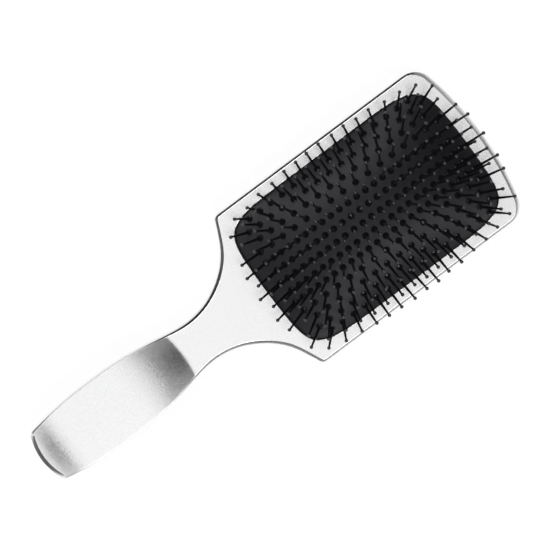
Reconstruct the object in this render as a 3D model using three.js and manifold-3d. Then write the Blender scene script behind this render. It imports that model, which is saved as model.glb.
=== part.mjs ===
// A large salon paddle brush, lying on its back with the bristle face up.
// Units are millimetres. +X runs from the butt of the handle to the head, +Z leaves the bristle face,
// and the origin lies under the middle of the brush, on the surface that its flat back rests on.
import * as THREE from "three";
import { mergeVertices } from "three/addons/utils/BufferGeometryUtils.js";
import Module from "manifold-3d";

const wasm = await Module();
wasm.setup();

// Driving dimensions of the body.
const HEAD_LENGTH = 120.7; // from the shoulder corners to the crown of the end
const HANDLE_LENGTH = 129.3; // from the shoulder corners to the crown of the butt
const HEAD_WIDTH = 83.6;
const HEAD_THICKNESS = 13;
const END_RADIUS = 147; // the shallow arc across the end of the head
const END_CORNER = 10;
const SHOULDER_CORNER = 3;
const SHOULDER_SLOPE = 2.2; // rise over run of the outline where it reaches the shoulder
const FLARE = [
  { back: 7.25, width: 54.8, slope: 1.45 }, // back: distance from the shoulder corners
  { back: 16.4, width: 36.4, slope: 0.72 },
];
const NECK = { back: 39.2, width: 21.4, slope: 0 };
const GRIP = [
  { back: 57.5, width: 26.6, slope: -0.176 },
  { back: 89.4, width: 31.8, slope: 0 },
];
const BUTT_WIDTH = 26.6;
const BUTT_RADIUS = 28;
const BUTT_CORNER = 2.2;
const BUTT_TAPER = 10; // degrees between the handle's side and its axis at the butt
const GRIP_RISE = 4.2; // how far the grip's front stands above the head's face
const RISE_START = 47.9; // from the shoulder corners back to the crease at the neck
const RISE_LENGTH = 34;
const CREASE_BOW = 1.2; // how far the crease curves back at the handle's sides
const BUTT_FALL = 3.2; // how far the grip's front drops again towards the butt
const BUTT_FALL_LENGTH = 18;
const BACK_CROWN = 2; // how far the handle's back curves up at its sides

// Shells.
const WALL = 1.8;
const SEAM_HEIGHT = 6;
const SEAM_GAP = 0.2;
const FRONT_EDGE = 1.9; // width of the rounded edge round the front
const BACK_EDGE = 3.4;
const ROUNDING = { inset: 0.25, height: 0.71 }; // a point on both rounded edges, as shares of their size
const LIP_HEIGHT = 1.4; // locating lip of the back shell, inside the front shell's wall
const LIP_THICKNESS = 1;
const LIP_FIT = 0.45;
const PEG_RADIUS = 1.6;
const PEG_FIT = 0.3;
const PEG_TIP_GAP = 1;
const SOCKET_WALL = 1.3;
const SOCKET_HEIGHT = 4.5;
const PEG_SETBACKS = [62, 106]; // from the shoulder corners back into the handle
const FIT = 0.3; // gap between pieces that touch when assembled
const ROUND_SIDES = 12;

// Air cushion.
const END_MARGIN = 8.9; // from the cushion to the end of the head
const SIDE_MARGIN = 6.5; // from the cushion to the long sides of the head
const NECK_REACH = 0.5; // how far the cushion reaches back past the shoulder corners
const CUSHION_SQUARENESS = 7; // exponent of the outline's superellipse
const CUSHION_BOW = 0.03; // share by which the outline is shorter along its long sides
const DOME_HEIGHT = 10.5;
const DOME_FALL_X = 0.79; // share of the crown lost at the ends
const DOME_FALL_Y = 0.84; // share of the crown lost at the long sides
const DOME_SHOULDER = 8; // exponent of the roll-over at the rim
const RIM_SHARES = [0.94, 0.985]; // where the roll-over is divided, as shares of half the width
const RUBBER = 1.4;
const FLANGE = 2;
const FRAME_WIDTH = 3.4;
const FRAME_HEIGHT = 2;
const TRAY_THICKNESS = 1.6;
const TRAY_VENT_RADIUS = 1.5;
const RIB_THICKNESS = 1.6;
const RIB_LENGTH = 84;
const RIB_SPACING = 40;

// Pins.
const ROWS_EACH_SIDE = 6;
const ROW_SPREAD = 0.951; // share of the cushion's width over which the rows would be evenly spaced
const ROW_CLOSING = 0.056; // share of it by which the outer rows draw closer, as the rubber curves down
const ROW_PINS = [23, 22, 23, 16, 15, 16, 15]; // in the middle row, and in the rows beside it in turn
const DENSE_ROWS_EACH_SIDE = 2;
const DENSE_PITCH = 0.0436; // share of the cushion's length
const OPEN_PITCH = 0.0632;
const PITCH_CLOSING = 0.056; // share by which the pins draw closer towards the ends of the cushion
const ROW_BOW = 0.078; // share by which the rows at the long sides are shorter
const ROWS_AHEAD = 1.5; // how far the rows lie towards the head from the middle of the cushion
const STRIPS = 3; // mouldings that make up a row
const PIN_LENGTH = 17.5; // from the rubber to the middle of the ball tip
const FAN_ALONG = { middle: 0.325, end: 0.77, side: 0.44 }; // slopes by which the pins fan out lengthwise
const FAN_ASIDE = { middle: 0.5, side: 1.2, rim: 1.2, end: 0.6 }; // and sideways, less so towards the ends
const PIN_SCATTER = 0.025; // how unevenly the pins stand, as a slope
const SCATTER_ALONG = { row: 12.9, pin: 7.7 }; // uneven steps round a circle, for the scatter
const SCATTER_ASIDE = { row: 5.3, pin: 9.1 };
const BOSS_RADIUS = 1.3;
const BOSS_HEIGHT = 2;
const SHAFT_RADIUS = 0.72;
const NECK_RADIUS = 0.46;
const BALL_RADIUS = 0.85;
const WEB_WIDTH = 2.8;
const WEB_FIT = 0.35;
const WEB_SINK = 0.15; // how far a strip's web lies below the face of the rubber round it

const headEnd = (HEAD_LENGTH + HANDLE_LENGTH) / 2;
const buttEnd = -headEnd;
const shoulder = headEnd - HEAD_LENGTH;
const cushionLength = HEAD_LENGTH + NECK_REACH - END_MARGIN;
const cushionWidth = HEAD_WIDTH - 2 * SIDE_MARGIN;
const cushionX = headEnd - END_MARGIN - cushionLength / 2;
const rowsX = cushionX + ROWS_AHEAD;
const plateUnderside = HEAD_THICKNESS - WALL;
const flangeTop = plateUnderside - FIT / 2;
const frameTop = flangeTop - RUBBER - FIT / 2;
const trayTop = frameTop - FRAME_HEIGHT - FIT;
const trayUnderside = trayTop - TRAY_THICKNESS;

const silver = { color: 0xc9cbcd, roughness: 0.32, metalness: 0.9 };
const blackRubber = { color: 0x2b2a2d, roughness: 0.6, metalness: 0 };
const blackNylon = { color: 0x101012, roughness: 0.35, metalness: 0 };
const darkPlastic = { color: 0x3a3b3e, roughness: 0.7, metalness: 0 };

// ---- Solids ----

const MERGE_REACH = 1e-4;

function meshSolid(positions, triangles) {
  return new wasm.Manifold(
    new wasm.Mesh({
      numProp: 3,
      vertProperties: new Float32Array(positions),
      triVerts: new Uint32Array(triangles),
    }),
  );
}

function geometrySolid(geometry) {
  const bare = geometry.clone();
  bare.deleteAttribute("normal");
  bare.deleteAttribute("uv");
  const merged = mergeVertices(bare, MERGE_REACH);
  return meshSolid(merged.attributes.position.array, merged.index.array);
}

function solidGeometry(solid) {
  const mesh = solid.getMesh();
  const geometry = new THREE.BufferGeometry();
  geometry.setAttribute("position", new THREE.BufferAttribute(mesh.vertProperties, 3));
  geometry.setIndex(new THREE.BufferAttribute(mesh.triVerts, 1));
  geometry.computeVertexNormals();
  return geometry;
}

const joined = (solids) => solids.reduce((whole, piece) => whole.add(piece));

function prism(points, low, high) {
  const geometry = new THREE.ExtrudeGeometry(new THREE.Shape(points), {
    depth: high - low,
    bevelEnabled: false,
  });
  return geometrySolid(geometry.translate(0, 0, low));
}

function boxSolid(lengthX, lengthY, low, high, x, y) {
  const geometry = new THREE.BoxGeometry(lengthX, lengthY, high - low);
  return geometrySolid(geometry.translate(x, y, (low + high) / 2));
}

function post(radius, low, high, x) {
  const geometry = new THREE.CylinderGeometry(radius, radius, high - low, ROUND_SIDES);
  return geometrySolid(geometry.rotateX(Math.PI / 2).translate(x, 0, (low + high) / 2));
}

// ---- Outline of the body ----

// One half of the outline, from the crown of the butt to the crown of the end, with y not below 0.
function halfOutline(divisions) {
  const path = new THREE.Path();

  const buttCentre = buttEnd + BUTT_RADIUS;
  const buttCornerY = BUTT_WIDTH / 2 - BUTT_CORNER;
  const buttReach = Math.sqrt((BUTT_RADIUS - BUTT_CORNER) ** 2 - buttCornerY ** 2);
  const buttCornerX = buttCentre - buttReach;
  const buttTurn = Math.atan2(buttCornerY, -buttReach);
  const taper = THREE.MathUtils.degToRad(BUTT_TAPER);
  path.absarc(buttCentre, 0, BUTT_RADIUS, Math.PI, buttTurn, true);
  path.absarc(buttCornerX, buttCornerY, BUTT_CORNER, buttTurn, Math.PI / 2 + taper, true);

  // The side passes through each section with its slope, as a chain of cubic curves.
  const turn = Math.atan(SHOULDER_SLOPE);
  const cornerReach = SHOULDER_CORNER * Math.tan(turn / 2);
  const sideEnd = {
    x: shoulder - cornerReach * Math.cos(turn),
    y: HEAD_WIDTH / 2 - cornerReach * Math.sin(turn),
    slope: SHOULDER_SLOPE,
  };
  const sections = [...FLARE, NECK, ...GRIP]
    .map(({ back, width, slope }) => ({ x: shoulder - back, y: width / 2, slope }))
    .reverse();
  let last = { x: path.currentPoint.x, y: path.currentPoint.y, slope: Math.tan(taper) };
  for (const next of [...sections, sideEnd]) {
    const third = (next.x - last.x) / 3;
    path.bezierCurveTo(
      last.x + third,
      last.y + third * last.slope,
      next.x - third,
      next.y - third * next.slope,
      next.x,
      next.y,
    );
    last = next;
  }

  const shoulderX = shoulder + cornerReach;
  const shoulderY = HEAD_WIDTH / 2 - SHOULDER_CORNER;
  path.absarc(shoulderX, shoulderY, SHOULDER_CORNER, Math.PI / 2 + turn, Math.PI / 2, true);

  const endCentre = headEnd - END_RADIUS;
  const endCornerY = HEAD_WIDTH / 2 - END_CORNER;
  const endReach = Math.sqrt((END_RADIUS - END_CORNER) ** 2 - endCornerY ** 2);
  const endTurn = Math.atan2(endCornerY, endReach);
  path.absarc(endCentre + endReach, endCornerY, END_CORNER, Math.PI / 2, endTurn, true);
  path.absarc(endCentre, 0, END_RADIUS, endTurn, 0, true);
  return path.getPoints(divisions);
}

const FINE_DIVISIONS = 24;
const fineOutline = halfOutline(FINE_DIVISIONS);

// Places along the body where its sections are taken: close together where the outline turns.
const STATION_DIVISIONS = 2;
const STATION_GAP = 10;
const stations = [buttEnd];
for (const { x } of halfOutline(STATION_DIVISIONS).slice(1)) {
  const start = stations.at(-1);
  const steps = Math.ceil((x - start) / STATION_GAP);
  for (let i = 1; i <= steps; i++) stations.push(start + ((x - start) * i) / steps);
}

// Half-width of the outline drawn in by inset all round, as a disc of that radius leaves it.
function halfWidth(x, inset) {
  const reach = Math.max(inset, MERGE_REACH);
  let width = Infinity;
  for (let i = 1; i < fineOutline.length; i++) {
    const a = fineOutline[i - 1];
    const b = fineOutline[i];
    const low = Math.max(a.x, x - reach);
    const high = Math.min(b.x, x + reach);
    if (low > high) continue;
    for (const at of [low, (low + high) / 2, high]) {
      const share = b.x > a.x ? (at - a.x) / (b.x - a.x) : 1;
      const edge = a.y + share * (b.y - a.y);
      width = Math.min(width, edge - Math.sqrt(Math.max(0, inset ** 2 - (at - x) ** 2)));
    }
  }
  return Math.max(0, width);
}

const LEAST_HALF_WIDTH = 0.2;

function sectionsAt(inset) {
  const shrink = (headEnd - inset) / headEnd;
  return stations.map((station, i) => {
    const x = station * shrink;
    const tip = i === 0 || i === stations.length - 1;
    return { x, half: tip ? 0 : Math.max(halfWidth(x, inset), LEAST_HALF_WIDTH) };
  });
}

// A closed block with the body's outline. Each ring has an inset and a height above every point.
const ACROSS = 2;

function bodyBlock(rings) {
  const positions = [];
  const triangles = [];
  const vertex = (x, y, z) => positions.push(x, y, z) / 3 - 1;
  const columns = rings.map(({ inset, height }, k) =>
    sectionsAt(inset).map(({ x, half }) => {
      const inner = k === 0 || k === rings.length - 1 ? ACROSS : 1;
      if (half === 0) return [vertex(x, 0, height(x, 0))];
      const column = [];
      for (let m = 0; m <= inner; m++) {
        const share = 1 - (2 * m) / inner;
        column.push(vertex(x, share * half, height(x, share)));
      }
      return column;
    }),
  );
  const quad = (a, b, c, d) => {
    if (a !== b && b !== c && a !== c) triangles.push(a, b, c);
    if (a !== c && c !== d && a !== d) triangles.push(a, c, d);
  };
  for (let k = 1; k < rings.length; k++) {
    for (let j = 1; j < stations.length; j++) {
      const low = columns[k - 1];
      const high = columns[k];
      quad(low[j - 1].at(0), high[j - 1].at(0), high[j].at(0), low[j].at(0));
      quad(low[j].at(-1), high[j].at(-1), high[j - 1].at(-1), low[j - 1].at(-1));
    }
  }
  const at = (column, m) => column[Math.min(m, column.length - 1)];
  for (let j = 1; j < stations.length; j++) {
    for (let m = 1; m <= ACROSS; m++) {
      const top = columns.at(-1);
      quad(at(top[j - 1], m - 1), at(top[j - 1], m), at(top[j], m), at(top[j], m - 1));
      const base = columns[0];
      quad(at(base[j - 1], m - 1), at(base[j], m - 1), at(base[j], m), at(base[j - 1], m));
    }
  }
  return meshSolid(positions, triangles);
}

// Height of the front at x, where share runs from -1 to 1 across the body.
function frontHeight(x, share) {
  const crease = shoulder - RISE_START - CREASE_BOW * share ** 2;
  const rise = THREE.MathUtils.clamp((crease - x) / RISE_LENGTH, 0, 1);
  const fall = THREE.MathUtils.clamp((buttEnd + BUTT_FALL_LENGTH - x) / BUTT_FALL_LENGTH, 0, 1);
  return HEAD_THICKNESS + GRIP_RISE * (1 - (1 - rise) ** 2) - BUTT_FALL * fall ** 2;
}

// Height of the back: flat under the head, curved up at the sides of the handle.
function backHeight(x, share) {
  const handle = THREE.MathUtils.smoothstep(shoulder - x, 0, NECK.back);
  return BACK_CROWN * handle * share ** 2;
}

const level = (height) => () => height;

const between = (base, face, share) => (x, across) => base + (face(x, across) - base) * share;

function frontBlock(inset, base, face) {
  return bodyBlock([
    { inset, height: level(base) },
    {
      inset: inset + FRONT_EDGE * ROUNDING.inset,
      height: between(SEAM_HEIGHT, face, ROUNDING.height),
    },
    { inset: inset + FRONT_EDGE, height: face },
  ]);
}

function backBlock(inset, top, face) {
  return bodyBlock([
    { inset: inset + BACK_EDGE, height: face },
    {
      inset: inset + BACK_EDGE * ROUNDING.inset,
      height: between(SEAM_HEIGHT, face, ROUNDING.height),
    },
    { inset, height: level(top) },
  ]);
}

// ---- Air cushion ----

// Where the rows of pins cross the middle of the cushion.
const rowPlaces = Array.from({ length: 2 * ROWS_EACH_SIDE + 1 }, (_, i) => {
  const share = i / ROWS_EACH_SIDE - 1;
  return (cushionWidth / 2) * (ROW_SPREAD * share - ROW_CLOSING * share ** 3);
});

// Stations along the cushion and the same on its other side, as shares of half its length.
const CUSHION_STATIONS = [0.35, 0.62, 0.8, 0.9, 0.955, 0.985, 1];

const mirrored = (shares) => [...shares.map((share) => -share).reverse(), 0, ...shares];

const cushionStations = mirrored(CUSHION_STATIONS);

// A point of the cushion grown by offset: along at a station, across as a share of the width there.
function cushionPoint(along, across, offset) {
  const edge = (1 - Math.abs(along) ** CUSHION_SQUARENESS) ** (1 / CUSHION_SQUARENESS);
  const y = across * edge;
  const x = along * (1 - CUSHION_BOW * y ** 2);
  return new THREE.Vector2(
    cushionX + x * (cushionLength / 2 + offset),
    y * (cushionWidth / 2 + offset),
  );
}

function cushionOutline(offset) {
  const near = cushionStations.map((along) => cushionPoint(along, -1, offset));
  const far = cushionStations.slice(1, -1).map((along) => cushionPoint(along, 1, offset));
  return [...near, ...far.reverse()];
}

// Height of the rubber above its rim, as a share of the crown, at a place given as shares of its size.
function crown(alongShare, acrossShare) {
  const x = Math.abs(alongShare) / (1 - CUSHION_BOW * acrossShare ** 2);
  const y = Math.abs(acrossShare);
  const power = CUSHION_SQUARENESS;
  const out = Math.min(1, (x ** power + y ** power) ** (1 / power));
  const roll = Math.sqrt(1 - out ** DOME_SHOULDER);
  return (1 - DOME_FALL_X * x ** 2) * (1 - DOME_FALL_Y * y ** 2) * roll;
}

function rubberHeight(x, y) {
  const share = crown((x - cushionX) / (cushionLength / 2), y / (cushionWidth / 2));
  return HEAD_THICKNESS + DOME_HEIGHT * share;
}

// The rubber: a domed sheet over a shorter wall, with a flange all round under the front shell.
function rubberShell() {
  const furrows = rowPlaces.slice(1).map((y, i) => (y + rowPlaces[i]) / cushionWidth);
  const shares = mirrored([...furrows.filter((share) => share > 0), ...RIM_SHARES, 1]);
  const positions = [];
  const triangles = [];
  const vertex = (x, y, z) => positions.push(x, y, z) / 3 - 1;
  const quad = (a, b, c, d) => {
    if (a !== b) triangles.push(a, b, c);
    if (c !== d) triangles.push(a, c, d);
  };

  const sheet = (offset, rim) =>
    cushionStations.map((along) => {
      const place = (across) => {
        const { x, y } = cushionPoint(along, across, offset);
        const alongShare = (x - cushionX) / (cushionLength / 2 + offset);
        return vertex(x, y, rim + DOME_HEIGHT * crown(alongShare, y / (cushionWidth / 2 + offset)));
      };
      if (Math.abs(along) < 1) return shares.map(place);
      const apex = place(0);
      return shares.map(() => apex);
    });
  const border = (columns) => [
    ...columns.map((column) => column[0]),
    ...columns.slice(1, -1).map((column) => column.at(-1)).reverse(),
  ];
  const ring = (offset, height) => cushionOutline(offset).map(({ x, y }) => vertex(x, y, height));

  const outside = sheet(0, HEAD_THICKNESS);
  const inside = sheet(-RUBBER, HEAD_THICKNESS - RUBBER);
  for (let i = 1; i < cushionStations.length; i++) {
    for (let m = 1; m < shares.length; m++) {
      quad(outside[i - 1][m - 1], outside[i][m - 1], outside[i][m], outside[i - 1][m]);
      quad(inside[i - 1][m], inside[i][m], inside[i][m - 1], inside[i - 1][m - 1]);
    }
  }
  const rings = [
    border(outside),
    ring(0, flangeTop),
    ring(FLANGE, flangeTop),
    ring(FLANGE, flangeTop - RUBBER),
    ring(-RUBBER, flangeTop - RUBBER),
    border(inside),
  ];
  for (let k = 1; k < rings.length; k++) {
    rings[k].forEach((_, i) => {
      const next = (i + 1) % rings[k].length;
      quad(rings[k][i], rings[k][next], rings[k - 1][next], rings[k - 1][i]);
    });
  }
  return meshSolid(positions, triangles);
}

// ---- Pins ----

// Where each pin leaves the rubber and the direction it points in, row by row and strip by strip.
function pinRows() {
  const rows = [];
  for (let side = -ROWS_EACH_SIDE; side <= ROWS_EACH_SIDE; side++) {
    const y = rowPlaces[side + ROWS_EACH_SIDE];
    const distance = Math.abs(side);
    const count = ROW_PINS[distance];
    const spacing = distance <= DENSE_ROWS_EACH_SIDE ? DENSE_PITCH : OPEN_PITCH;
    const pitch = spacing * cushionLength * (1 - ROW_BOW * ((2 * y) / cushionWidth) ** 2);
    const pins = Array.from({ length: count }, (_, i) => {
      const even = (i - (count - 1) / 2) * pitch;
      const x = rowsX + even * (1 - PITCH_CLOSING * ((2 * even) / cushionLength) ** 2);
      return pinAt(x, y, side, i);
    });
    const perStrip = count / STRIPS;
    const strips = Array.from({ length: STRIPS }, (_, s) =>
      pins.slice(Math.round(s * perStrip), Math.round((s + 1) * perStrip)),
    );
    rows.push(strips);
  }
  return rows;
}

function pinAt(x, y, row, i) {
  const along = (x - rowsX) / (cushionLength / 2);
  const aside = y / (cushionWidth / 2);
  const fanX = FAN_ALONG.middle + FAN_ALONG.end * along ** 2 - FAN_ALONG.side * aside ** 2;
  const sideways = FAN_ASIDE.side * aside ** 2 - FAN_ASIDE.rim * aside ** 4;
  const fanY = FAN_ASIDE.middle + sideways - FAN_ASIDE.end * along ** 2;
  const scatterX = PIN_SCATTER * Math.sin(SCATTER_ALONG.row * row + SCATTER_ALONG.pin * i);
  const scatterY = PIN_SCATTER * Math.cos(SCATTER_ASIDE.row * row + SCATTER_ASIDE.pin * i);
  const base = new THREE.Vector3(x, y, rubberHeight(x, y));
  const direction = new THREE.Vector3(along * fanX + scatterX, aside * fanY + scatterY, 1);
  return { base, direction: direction.normalize() };
}

const average = (a, b) => a.clone().add(b).multiplyScalar(0.5);

// A point beside a pin's axis: up along the pin, then forward along the row and across it.
function beside({ base, direction }, up, forward, across) {
  const ahead = new THREE.Vector3(1, 0, 0).addScaledVector(direction, -direction.x).normalize();
  const aside = new THREE.Vector3().crossVectors(direction, ahead);
  const point = base.clone().addScaledVector(direction, up);
  return point.addScaledVector(ahead, forward).addScaledVector(aside, across);
}

// One moulded strip: a web with a square cell for each pin, and the pins that rise from the cells.
// Walking round a square, corners go left-far, left-near, right-near, right-far, seen from the tips.
const AHEAD = [-1, -1, 1, 1];
const ASIDE = [1, -1, -1, 1];

function pinStrip(pins) {
  const positions = [];
  const triangles = [];
  const vertex = (point) => positions.push(point.x, point.y, point.z) / 3 - 1;
  const quad = (a, b, c, d) => triangles.push(a, b, c, a, c, d);
  const half = WEB_WIDTH / 2;
  const webTop = -WEB_SINK;
  const webBottom = -WEB_SINK - RUBBER;

  // Corners of the web at each end and between neighbouring pins, in the order top, top, bottom, bottom.
  const seams = Array.from({ length: pins.length + 1 }, (_, i) => {
    const before = pins[Math.max(i - 1, 0)];
    const after = pins[Math.min(i, pins.length - 1)];
    const overhang = i === 0 ? -half : i === pins.length ? half : 0;
    const middle = {
      base: average(before.base, after.base),
      direction: average(before.direction, after.direction).normalize(),
    };
    return [
      [webTop, half],
      [webTop, -half],
      [webBottom, -half],
      [webBottom, half],
    ].map(([up, across]) => vertex(beside(middle, up, overhang, across)));
  });

  const profile = [
    [webTop, BOSS_RADIUS],
    [BOSS_HEIGHT, SHAFT_RADIUS],
    [PIN_LENGTH - BALL_RADIUS, NECK_RADIUS],
    [PIN_LENGTH, BALL_RADIUS],
  ];
  pins.forEach((pin, i) => {
    const [topFar, topNear, bottomNear, bottomFar] = seams[i];
    const [nextTopFar, nextTopNear, nextBottomNear, nextBottomFar] = seams[i + 1];
    quad(topFar, nextTopFar, nextBottomFar, bottomFar);
    quad(topNear, bottomNear, nextBottomNear, nextTopNear);
    quad(bottomFar, nextBottomFar, nextBottomNear, bottomNear);
    const cell = [topFar, topNear, nextTopNear, nextTopFar];
    const rings = profile.map(([up, radius]) =>
      AHEAD.map((ahead, c) =>
        vertex(beside(pin, up, ahead * radius * Math.SQRT1_2, ASIDE[c] * radius * Math.SQRT1_2)),
      ),
    );
    const outlines = [cell, ...rings];
    for (let c = 0; c < 4; c++) {
      const next = (c + 1) % 4;
      for (let k = 1; k < outlines.length; k++) {
        quad(outlines[k - 1][c], outlines[k - 1][next], outlines[k][next], outlines[k][c]);
      }
    }
    const tip = vertex(beside(pin, PIN_LENGTH + BALL_RADIUS, 0, 0));
    const last = rings.at(-1);
    last.forEach((corner, c) => triangles.push(corner, last[(c + 1) % 4], tip));
  });
  const [firstTopFar, firstTopNear, firstBottomNear, firstBottomFar] = seams[0];
  quad(firstTopFar, firstBottomFar, firstBottomNear, firstTopNear);
  quad(...seams.at(-1));
  return meshSolid(positions, triangles);
}

// The slot that a strip's web fills in the rubber, with clearance all round.
function stripSlot(pins) {
  const reach = WEB_WIDTH / 2 + WEB_FIT;
  const above = 2 * RUBBER;
  const below = -3 * RUBBER;
  const sections = [pins[0], pins[Math.floor(pins.length / 2)], pins.at(-1)];
  const positions = [];
  const triangles = [];
  const overhangs = [-reach, 0, reach];
  sections.forEach((pin, i) => {
    for (const [up, across] of [
      [above, reach],
      [above, -reach],
      [below, -reach],
      [below, reach],
    ]) {
      const corner = beside(pin, up, overhangs[i], across);
      positions.push(corner.x, corner.y, corner.z);
    }
  });
  const quad = (a, b, c, d) => triangles.push(a, b, c, a, c, d);
  for (let i = 0; i + 1 < sections.length; i++) {
    for (let c = 0; c < 4; c++) {
      const next = (c + 1) % 4;
      quad(4 * i + c, 4 * i + next, 4 * i + 4 + next, 4 * i + 4 + c);
    }
  }
  const end = 4 * (sections.length - 1);
  quad(0, 3, 2, 1);
  quad(end, end + 1, end + 2, end + 3);
  return meshSolid(positions, triangles);
}

// ---- The pieces ----

const group = new THREE.Group();
const pinStrips = pinRows();

function addPiece(name, solid, finish) {
  const mesh = new THREE.Mesh(solidGeometry(solid), new THREE.MeshStandardMaterial(finish));
  mesh.name = name;
  group.add(mesh);
}

function frontShell() {
  const hollowFace = (x, across) => frontHeight(x, across) - WALL;
  const shell = frontBlock(0, SEAM_HEIGHT, frontHeight)
    .subtract(frontBlock(WALL, SEAM_HEIGHT - WALL, hollowFace))
    .subtract(prism(cushionOutline(FIT), SEAM_HEIGHT, HEAD_THICKNESS + WALL));
  const pegs = PEG_SETBACKS.map((back) => {
    const x = shoulder - back;
    return post(PEG_RADIUS, WALL + PEG_TIP_GAP, frontHeight(x, 0) - WALL / 2, x);
  });
  return joined([shell, ...pegs]);
}

function backShell() {
  const hollowFloor = (x, across) => backHeight(x, across) + WALL;
  const top = SEAM_HEIGHT - SEAM_GAP;
  const lipInset = WALL + LIP_FIT;
  const lip = bodyBlock([
    { inset: lipInset, height: level(SEAM_HEIGHT - BACK_EDGE / 2) },
    { inset: lipInset, height: level(SEAM_HEIGHT + LIP_HEIGHT) },
  ]);
  const hollow = backBlock(lipInset + LIP_THICKNESS, SEAM_HEIGHT + 2 * LIP_HEIGHT, hollowFloor);
  const sockets = PEG_SETBACKS.map((back) => {
    const x = shoulder - back;
    const radius = PEG_RADIUS + PEG_FIT;
    return post(radius + SOCKET_WALL, WALL / 2, WALL + SOCKET_HEIGHT, x).subtract(
      post(radius, WALL, WALL + 2 * SOCKET_HEIGHT, x),
    );
  });
  const ribTop = trayUnderside - FIT;
  const ribs = [-1, 0, 1].flatMap((side) => [
    boxSolid(RIB_LENGTH, RIB_THICKNESS, WALL / 2, ribTop, cushionX, (side * RIB_SPACING) / 2),
    boxSolid(RIB_THICKNESS, RIB_SPACING, WALL / 2, ribTop, cushionX + (side * RIB_LENGTH) / 2, 0),
  ]);
  return joined([backBlock(0, top, backHeight).add(lip).subtract(hollow), ...sockets, ...ribs]);
}

function retainingFrame() {
  const outside = prism(cushionOutline(FLANGE), frameTop - FRAME_HEIGHT, frameTop);
  return outside.subtract(prism(cushionOutline(FLANGE - FRAME_WIDTH), 0, HEAD_THICKNESS));
}

function cushionTray() {
  const plate = prism(cushionOutline(FLANGE), trayUnderside, trayTop);
  return plate.subtract(post(TRAY_VENT_RADIUS, 0, HEAD_THICKNESS, cushionX));
}

addPiece("front_shell", frontShell(), silver);
addPiece("back_shell", backShell(), silver);
addPiece("cushion_tray", cushionTray(), darkPlastic);
addPiece("cushion_retaining_frame", retainingFrame(), darkPlastic);
addPiece("rubber_cushion", rubberShell().subtract(joined(pinStrips.flat().map(stripSlot))), blackRubber);
pinStrips.forEach((strips, row) => {
  strips.forEach((pins, strip) => {
    const number = String(row + 1).padStart(2, "0");
    addPiece(`pin_row_${number}_strip_${strip + 1}`, pinStrip(pins), blackNylon);
  });
});

export default group;
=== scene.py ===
"""A large salon paddle brush: a silver body in two mouldings, a black rubber air cushion and
237 ball-tipped nylon pins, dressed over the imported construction.

Sizes are in millimetres, in the construction's own frame, and become metres where Blender takes them.
+X runs from the butt of the handle to the head, +Z leaves the bristle face.
"""
import math

import bpy
import numpy as np
from mathutils import Matrix, Vector
from mathutils.geometry import delaunay_2d_cdt


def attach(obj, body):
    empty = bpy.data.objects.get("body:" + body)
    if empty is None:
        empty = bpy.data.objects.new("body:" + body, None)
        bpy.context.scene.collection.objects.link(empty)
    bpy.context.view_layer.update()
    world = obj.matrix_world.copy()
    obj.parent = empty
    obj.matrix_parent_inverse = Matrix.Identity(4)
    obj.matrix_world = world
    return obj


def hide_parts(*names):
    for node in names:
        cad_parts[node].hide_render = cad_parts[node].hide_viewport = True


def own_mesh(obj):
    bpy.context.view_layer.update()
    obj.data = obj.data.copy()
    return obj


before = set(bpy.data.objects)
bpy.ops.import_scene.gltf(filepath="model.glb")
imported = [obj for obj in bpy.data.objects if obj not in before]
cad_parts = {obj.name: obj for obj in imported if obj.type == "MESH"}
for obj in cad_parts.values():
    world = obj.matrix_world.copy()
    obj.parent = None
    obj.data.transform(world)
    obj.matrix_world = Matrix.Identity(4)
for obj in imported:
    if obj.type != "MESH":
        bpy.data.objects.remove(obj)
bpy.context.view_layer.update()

MM = 0.001
BODY = "brush_body"

# Body, as the construction has it.
HEAD_LENGTH = 120.7  # from the shoulder corners to the crown of the end
HANDLE_LENGTH = 129.3
HEAD_WIDTH = 83.6
HEAD_THICKNESS = 13
END_RADIUS = 147  # crowned end of the head
END_CORNER = 10
SHOULDER_CORNER = 3
SHOULDER_SLOPE = 2.2
NECK_BACK = 39.2  # from the shoulder corners to the neck's narrowest place
SECTIONS = [  # distance back from the shoulder corners, width and slope of the side
    (89.4, 31.8, 0),
    (57.5, 26.6, -0.176),
    (NECK_BACK, 21.4, 0),
    (16.4, 36.4, 0.72),
    (7.25, 54.8, 1.45),
]
BUTT_WIDTH = 26.6
BUTT_RADIUS = 28
BUTT_CORNER = 2.2
BUTT_TAPER = math.radians(10)
GRIP_RISE = 4.2  # how far the grip's front stands over the head's
RISE_START = 47.9  # from the shoulder corners back to the crease, where the grip begins to rise
RISE_LENGTH = 34
CREASE_BOW = 1.2  # how much further back the crease is at the sides
CREASE_ROUND = 2.2  # length of its rounding
BUTT_FALL = 3.2  # how far the grip's front falls at the butt
BUTT_FALL_LENGTH = 18
BACK_CROWN = 2  # how far the handle's back rises at its sides
WALL = 1.8
SEAM = 6  # height of the seam between the mouldings
SEAM_GAP = 0.2

# Inside of the body.
LIP_HEIGHT = 1.4
LIP_THICKNESS = 1
LIP_FIT = 0.45
FLOOR_INSET = 1  # from the lip to the inner face of the back
CEILING_INSET = 0.4  # from the front's wall to its inner face
PEG_RADIUS = 1.6
PEG_FIT = 0.3
PEG_TIP_GAP = 1
PEG_TIP = 0.7  # share of the peg's radius that is left at its tip
PEG_CHAMFER = 0.5
PEG_SETBACKS = (62, 106)  # back from the shoulder corners
PEG_SIDES = 20
SOCKET_WALL = 1.3
SOCKET_HEIGHT = 4.5
SOCKET_CHAMFER = 0.3
RIB_THICKNESS = 1.6
RIB_LENGTH = 84
RIB_SPACING = 40
RIB_TOP = 5.3
RIB_DRAFT = 0.15
RIB_CHAMFER = 0.2
ROOT_GAP = 0.02  # keeps the roots of pegs, sockets and ribs off the face behind them

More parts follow.
